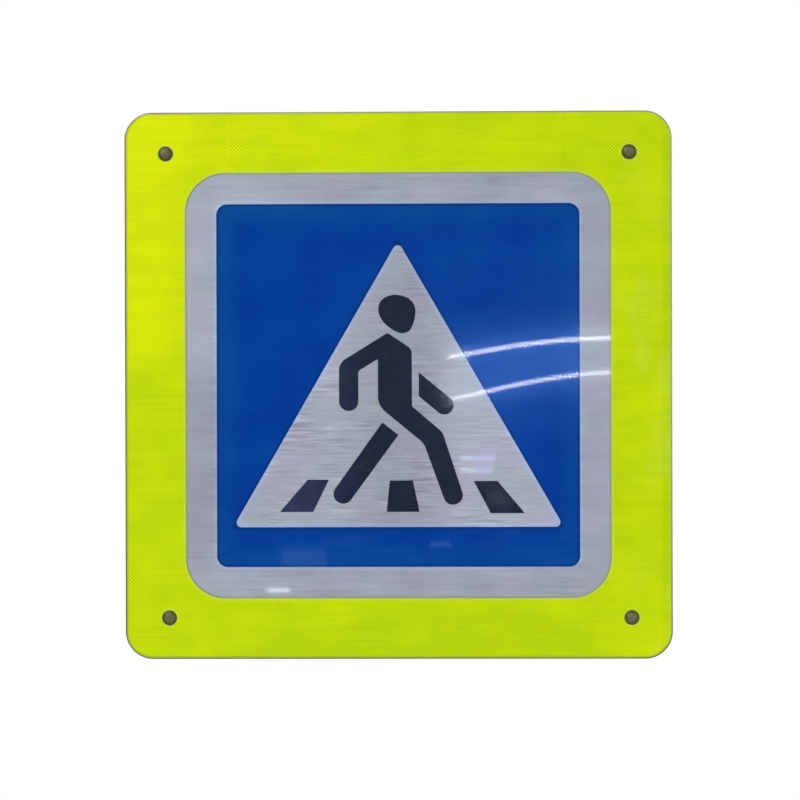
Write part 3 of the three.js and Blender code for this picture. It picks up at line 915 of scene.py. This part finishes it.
def add_nut(node, body, x, z, front, spin):
    """Hexagon nut turned by spin degrees, chamfered at 30 degrees on both faces."""
    back = front + NUT_THICK
    face_r = NUT_FLATS * 0.475

    def side(height):
        def at(angle):
            local = (angle - math.radians(spin)) % (math.pi / 3) - math.pi / 6
            return min(NUT_FLATS / 2 / math.cos(local), face_r + height * math.sqrt(3))
        return at

    heights = [0.08 * k for k in range(1, 14)]
    rows = [(front + 0.7, NUT_BORE), (front, NUT_BORE + 0.7), (front, face_r)]
    rows += [(front + h, side(h)) for h in heights]
    rows += [(back - h, side(h)) for h in reversed(heights)]
    rows += [(back, face_r), (back, NUT_BORE + 0.7), (back - 0.7, NUT_BORE)]
    bm = bmesh.new()
    turned(bm, rows, x, z, columns=72, closed=True)
    add_piece(f"{node}_forged", bm, "fastener_metal", body, [node], smooth=24)


def add_corner_fasteners():
    web_rear = Y_BACK + RAIL_WALL
    for (name, (x, z)), spin in zip(BOLTS.items(), (10, 25, 45, 0)):
        add_cup_bolt(name, x, z)
        add_washer(f"washer_{name}", "sign_board", x, z, web_rear)
        add_nut(f"nut_{name}", "sign_board", x, z, web_rear + WASHER_THICK, spin)


# ---- bent strip parts ----


class Bend:
    """A path of straights and bends in a plane, for folding a flat blank along."""

    def __init__(self, start, heading, runs):
        self.runs = []
        self.folds = []
        point, angle, length = Vector(start), math.radians(heading), 0.0
        for radius, amount in runs:
            turn = 0.0 if radius is None else math.radians(amount)
            span = amount if radius is None else abs(turn) * radius
            self.runs.append((length, span, point.copy(), angle, radius, turn))
            if radius is not None:
                pieces = max(4, round(abs(amount) / 9))
                self.folds += [length + span * i / pieces for i in range(pieces + 1)]
            point = self.on_run(self.runs[-1], span)[0]
            angle += turn
            length += span
        self.length = length

    @staticmethod
    def on_run(run, along):
        _, span, point, angle, radius, turn = run
        ahead = Vector((math.cos(angle), math.sin(angle)))
        if radius is None:
            return point + ahead * along, left_of(ahead)
        side = math.copysign(1.0, turn)
        centre = point + left_of(ahead) * side * radius
        swept = turn * along / span
        out = Matrix.Rotation(swept, 2) @ (point - centre)
        heading = Matrix.Rotation(swept, 2) @ ahead
        return centre + out, left_of(heading)

    def at(self, length, offset):
        """The point at a length along the path, moved to its left by offset."""
        run = next((r for r in reversed(self.runs) if length >= r[0] - 1e-6), self.runs[0])
        point, left = self.on_run(run, length - run[0])
        return point + left * offset


def flat_blank(outline, holes, thickness, cuts_x, cuts_z):
    half = thickness / 2
    loops = [counter_clockwise(outline), *holes]
    return stack([(loops, half), (loops, -half)], cuts_x, cuts_z)


def add_rail(name, z):
    """C rail, folded across its width from a flat strip with two punched holes."""
    mid = RAIL_CORNER - RAIL_WALL / 2
    half = RAIL_WIDTH / 2
    lip = half - RAIL_CORNER - RAIL_SLOT / 2
    side = RAIL_DEPTH - 2 * RAIL_CORNER
    web = RAIL_WIDTH - 2 * RAIL_CORNER
    fold = (mid, -90)
    runs = [(None, lip), fold, (None, side), fold, (None, web), fold, (None, side), fold, (None, lip)]
    path = Bend((RAIL_REAR - RAIL_WALL / 2, -RAIL_SLOT / 2), -90, runs)
    holes = [square_hole(BOLTS[f"{name}_{end}"][0], path.length / 2, NECK_HOLE) for end in SIDES]
    outline = rectangle(-RAIL_HALF, RAIL_HALF, 0, path.length, 0.4)
    bm = flat_blank(outline, holes, RAIL_WALL, [], path.folds)
    for v in bm.verts:
        point = path.at(v.co.z, v.co.y)
        v.co = Vector((v.co.x, point.x, z + point.y))
    add_piece(f"{name}_rail_formed", bm, "rail_metal", "sign_board", [f"{name}_rail"], bevel=0.35)


def ear_outline():
    """Flat blank of the cradle: base, slits beside the bends, and two hollowed ears."""
    mid = CRADLE_BEND - CLAMP_WALL / 2
    half = CLAMP_WIDTH / 2
    fold = half - CRADLE_BEND
    ear = fold + math.pi / 2 * mid
    top = ear + EAR_TOP - (RAIL_REAR + CRADLE_BEND)
    reach = math.sqrt(POST_R ** 2 - EAR_TOP ** 2)
    slit = 1.6
    upper = [(CRADLE_HALF, half, 5), (EAR_HALF + slit, half, 0.8), (EAR_HALF + slit, fold, 0.6),
             (EAR_HALF, fold, 0.6), (EAR_HALF, top, 1.5)]
    scoop = []
    for i in range(31):
        x = reach * (1 - 2 * i / 30)
        y = -math.sqrt(POST_R ** 2 - x ** 2)
        scoop.append((x, ear + y - (RAIL_REAR + CRADLE_BEND), 0.01))
    side = upper + scoop + [(-x, v, r) for x, v, r in reversed(upper)]
    return rounded(side + [(-x, -v, r) for x, v, r in side], 18), fold, ear, mid


def add_cradle(name, z):
    """Cradle pressed from a flat blank, its ears turned back along two bends."""
    outline, fold, ear, mid = ear_outline()
    holes = [circle(s * CLAMP_BOLT_X, 0, CLAMP_HOLE) for s in (-1, 1)]
    folds = [side * (fold + (ear - fold) * i / 8) for i in range(9) for side in (-1, 1)]
    bm = flat_blank(outline, holes, CLAMP_WALL, [], folds)
    middle = RAIL_REAR + CLAMP_WALL / 2
    centre_y = RAIL_REAR + CRADLE_BEND
    for v in bm.verts:
        x, s, across = v.co
        side, a = math.copysign(1, across), abs(across)
        radius = mid - s
        if a <= fold or abs(x) > EAR_HALF + 0.8:
            y, w = middle + s, a
        elif a <= ear:
            turn = (a - fold) / mid
            y, w = centre_y - radius * math.cos(turn), fold + radius * math.sin(turn)
        else:
            y, w = centre_y + a - ear, fold + radius
        v.co = Vector((x, y, z + side * w))
    add_piece(f"{name}_cradle_pressed", bm, "clamp_metal", f"{name}_clamp", [f"{name}_cradle"], bevel=0.45)


def add_hoop(name, z):
    """Strap folded along its length from a flat blank, with a foot at each end."""
    mid = POST_R + CLAMP_WALL / 2
    foot_y = CRADLE_REAR + CLAMP_WALL / 2
    foot = HOOP_FOOT - mid - HOOP_BEND
    leg = -foot_y - HOOP_BEND
    fold = (HOOP_BEND, 90)
    runs = [(None, foot), fold, (None, leg), (mid, -180), (None, leg), fold, (None, foot)]
    path = Bend((-HOOP_FOOT, foot_y), 0, runs)
    half = CLAMP_WIDTH / 2
    bolt_at = HOOP_FOOT - CLAMP_BOLT_X
    holes = [circle(u, 0, CLAMP_HOLE) for u in (bolt_at, path.length - bolt_at)]
    bm = flat_blank(rectangle(0, path.length, -half, half, 6), holes, CLAMP_WALL, path.folds, [])
    for v in bm.verts:
        point = path.at(v.co.x, v.co.y)
        v.co = Vector((point.x, point.y, z + v.co.z))
    add_piece(f"{name}_hoop_bent", bm, "clamp_metal", f"{name}_hoop_set", [f"{name}_hoop"], bevel=0.45)


def add_tee_bolt(name, side, x, z):
    """Hammer-head bolt; two opposite corners of its head are rounded so that it can turn in the rail."""
    half_x, half_z = TEE_X / 2, TEE_Z / 2
    seat = RAIL_REAR - RAIL_WALL
    head = [(half_x, -half_z, 1), (half_x, half_z, 8), (-half_x, half_z, 1), (-half_x, -half_z, 8)]
    outline = rounded(head, 9)
    e = 0.5
    loops, inner = [outline], [inset(outline, e)]
    bm = stack([(inner, seat), (loops, seat - e), (loops, seat - TEE_THICK + e), (inner, seat - TEE_THICK)])
    for v in bm.verts:
        v.co += Vector((x, 0, z))
    shank = [(seat - 1, 0), (seat - 1, BOLT_R + 1), (seat, BOLT_R + 1)]
    shank += [(seat + 0.6, BOLT_R), (seat + 4, BOLT_R)]
    turned(bm, shank + thread_rows(seat + 4.1, TEE_TAIL, BOLT_R), x, z)
    node = f"{name}_tbolt_{side}"
    add_piece(f"{node}_forged", bm, "fastener_metal", f"{name}_clamp", [node], smooth=38)


def add_clamps():
    spins = {("upper", "left"): 14, ("upper", "right"): 38, ("lower", "left"): 3, ("lower", "right"): 51}
    for name, z in RAIL_Z.items():
        add_rail(name, z)
        add_cradle(name, z)
        add_hoop(name, z)
        body = f"{name}_hoop_set"
        for side, x in (("left", -CLAMP_BOLT_X), ("right", CLAMP_BOLT_X)):
            add_tee_bolt(name, side, x, z)
            add_washer(f"{name}_clamp_washer_{side}", body, x, z, HOOP_REAR)
            add_nut(f"{name}_clamp_nut_{side}", body, x, z, HOOP_REAR + WASHER_THICK, spins[name, side])


# ---- camera, lights and floor ----

CAMERA = dict(lens=135, yaw=1.46, pitch=-0.23, roll=-0.16, aim=(0.0032, -0.0665, -0.0242), distance=4.932)


def camera_axes():
    yaw, pitch, roll = (math.radians(CAMERA[key]) for key in ("yaw", "pitch", "roll"))
    forward = Vector((-math.sin(yaw) * math.cos(pitch), math.cos(yaw) * math.cos(pitch), math.sin(pitch)))
    level = Vector((math.cos(yaw), math.sin(yaw), 0))
    above = level.cross(forward)
    right = level * math.cos(roll) + above * math.sin(roll)
    return right, right.cross(forward), forward


def add_camera():
    data = bpy.data.cameras.new("camera")
    data.lens = CAMERA["lens"]
    camera = new_object("camera", data)
    right, up, forward = camera_axes()
    turn = Matrix((right, up, -forward)).transposed().to_4x4()
    place = Vector(CAMERA["aim"]) - forward * CAMERA["distance"]
    camera.matrix_world = Matrix.Translation(place) @ turn
    scene.camera = camera
    return place


# Every lamp is placed by the ends of its mirror image on the board, in millimetres. The other sizes
# and distances of the lights are in metres. Two lamp tubes, each in a soft glow:
TUBES = {
    "upper": dict(image=((83, 46.5), (350, 77)), glow=((75, 41), (350, 72)), radiance=50),
    "lower": dict(image=((80, -25), (350, 21)), glow=((70, -20), (350, 26)), radiance=42),
}
TUBE_HEIGHT, TUBE_AWAY, TUBE_COLOUR = 0.0032, 2.4, (0.92, 0.96, 1)
GLOW_HEIGHTS = (0.045, 0.060, 0.080, 0.105)
GLOW_AWAY, GLOW_STEP, GLOW_RADIANCE, GLOW_COLOUR = 2.45, 0.02, 0.30, (0.24, 0.47, 1)

# Small lamps: the ends of the mirror image, height, radiance and colour.
GLINT_AWAY = 2.42
GLINTS = {
    "upper_lamp_green": ((103, -120), (122, -120), 0.0080, 10.0, (0.62, 1, 0.82)),
    "upper_lamp_violet": ((122, -120), (158, -121), 0.0085, 9.0, (0.42, 0.38, 1)),
    "lower_lamp_green": ((101, -140), (124, -140), 0.0070, 10.0, (0.66, 1, 0.84)),
    "lower_lamp_violet": ((124, -140), (154, -141), 0.0100, 8.0, (0.38, 0.46, 1)),
    "violet_haze": ((122, -130), (158, -130), 0.055, 2.4, (0.45, 0.38, 1)),
    "tube_end_haze": ((70, 22), (118, 24), 0.120, 0.9, (1, 0.97, 0.92)),
    "frame_haze": ((302, 48), (350, 50), 0.145, 0.9, (1, 0.96, 0.92)),
    "stripe_window": ((150, -186), (180, -186), 0.045, 1.0, (0.8, 0.95, 1)),
    "low_window": ((-192, -286), (-119, -283), 0.030, 0.95, (0.30, 0.48, 1)),
    "low_lamp": ((-216, -337), (-180, -337), 0.0070, 17.0, (0.9, 1, 1)),
    "low_glint": ((52, -262), (86, -262), 0.0160, 1.4, (0.25, 0.60, 1)),
}

# Softboxes that all face the board: centre, direction of the width, width, height, power and colour.
SOFTBOXES = {
    "key_softbox": ((-2.3, -2.6, 2.2), (1, -0.9, 0), 2.2, 1.6, 95, (1, 0.985, 0.96)),
    "fill_softbox": ((3.0, -2.0, 0.6), (1, 1.5, 0), 1.4, 2.0, 34, (0.95, 0.975, 1)),
    "rear_softbox": ((1.6, 3.0, 2.0), (1, 0, 0), 2.4, 1.6, 60, (1, 0.99, 0.97)),
    "rear_fill": ((-2.6, 2.2, 0.4), (1, 0.8, 0), 1.2, 2.0, 26, (0.95, 0.97, 1)),
}


def add_area_light(name, centre, along, width, height, power, colour, facing):
    data = bpy.data.lights.new(name, "AREA")
    data.shape = "RECTANGLE"
    data.size, data.size_y = width, height
    data.energy = power
    data.color = colour
    light = new_object(name, data)
    back = (Vector(centre) - Vector(facing)).normalized()
    x_axis = (Vector(along) - back * back.dot(Vector(along))).normalized()
    turn = Matrix((x_axis, back.cross(x_axis), back)).transposed().to_4x4()
    light.matrix_world = Matrix.Translation(centre) @ turn
    light.visible_camera = False


def mirrored(eye, x, z, away):
    """The point, away metres before the board, that the eye sees mirrored at (x, z) millimetres."""
    on_board = Vector((x, Y_PRINT + ripple(x, z), z)) * MM
    ray = (on_board - eye).normalized().reflect(front_normal(x, z))
    return on_board + ray * (away / abs(ray.y))


def add_mirrored_light(name, eye, left, right, height, radiance, colour, away):
    """A lamp whose mirror image runs from left to right on the glossy films."""
    a, b = mirrored(eye, *left, away), mirrored(eye, *right, away)
    middle = (a + b) / 2
    width = (b - a).length
    power = radiance * math.pi * width * height
    add_area_light(name, middle, b - a, width, height, power, colour, middle + Vector((0, 1, 0)))


def add_lights(eye):
    for name, tube in TUBES.items():
        add_mirrored_light(f"{name}_tube", eye, *tube["image"], TUBE_HEIGHT, tube["radiance"], TUBE_COLOUR,
                           TUBE_AWAY)
    for step, height in enumerate(GLOW_HEIGHTS):
        away = GLOW_AWAY + GLOW_STEP * step
        for name, tube in TUBES.items():
            add_mirrored_light(f"{name}_glow_{step}", eye, *tube["glow"], height, GLOW_RADIANCE,
                               GLOW_COLOUR, away)
    for name, glint in GLINTS.items():
        add_mirrored_light(name, eye, *glint, GLINT_AWAY)
    for name, softbox in SOFTBOXES.items():
        add_area_light(name, *softbox, facing=(0, -0.07, 0))


def add_world():
    """White to the camera; a soft studio gradient, darker at eye level, to everything else."""
    world = bpy.data.worlds.new("studio")
    world.use_nodes = True
    scene.world = world
    world.node_tree.nodes.clear()
    s = Nodes(world.node_tree, "Generated")
    _, y, z = s.split()
    strength = s.product(s.spread(z, -0.25, 0.9, 0.22, 0.95), s.ease(y, -0.95, -0.55, 0.05, 1.0))
    soft = s.node("Background", {"Color": (0.96, 0.98, 1, 1), "Strength": strength})
    white = s.node("Background", {"Color": (1, 1, 1, 1)})
    seen = s.node("LightPath").outputs["Is Camera Ray"]
    mix = s.node("MixShader", {0: seen, 1: soft.outputs[0], 2: white.outputs[0]})
    s.node("OutputWorld", {0: mix.outputs[0]})


def add_floor():
    bm = bmesh.new()
    bmesh.ops.create_circle(bm, cap_ends=True, segments=96, radius=FLOOR_RADIUS)
    floor = mesh_object("floor", bm, studio_floor())
    floor.location.z = FLOOR_Z


# ---- build ----

eye = add_camera()
add_world()
add_lights(eye)
add_floor()
add_panel()
add_films()
add_corner_fasteners()
add_clamps()

scene.view_settings.view_transform = "Standard"
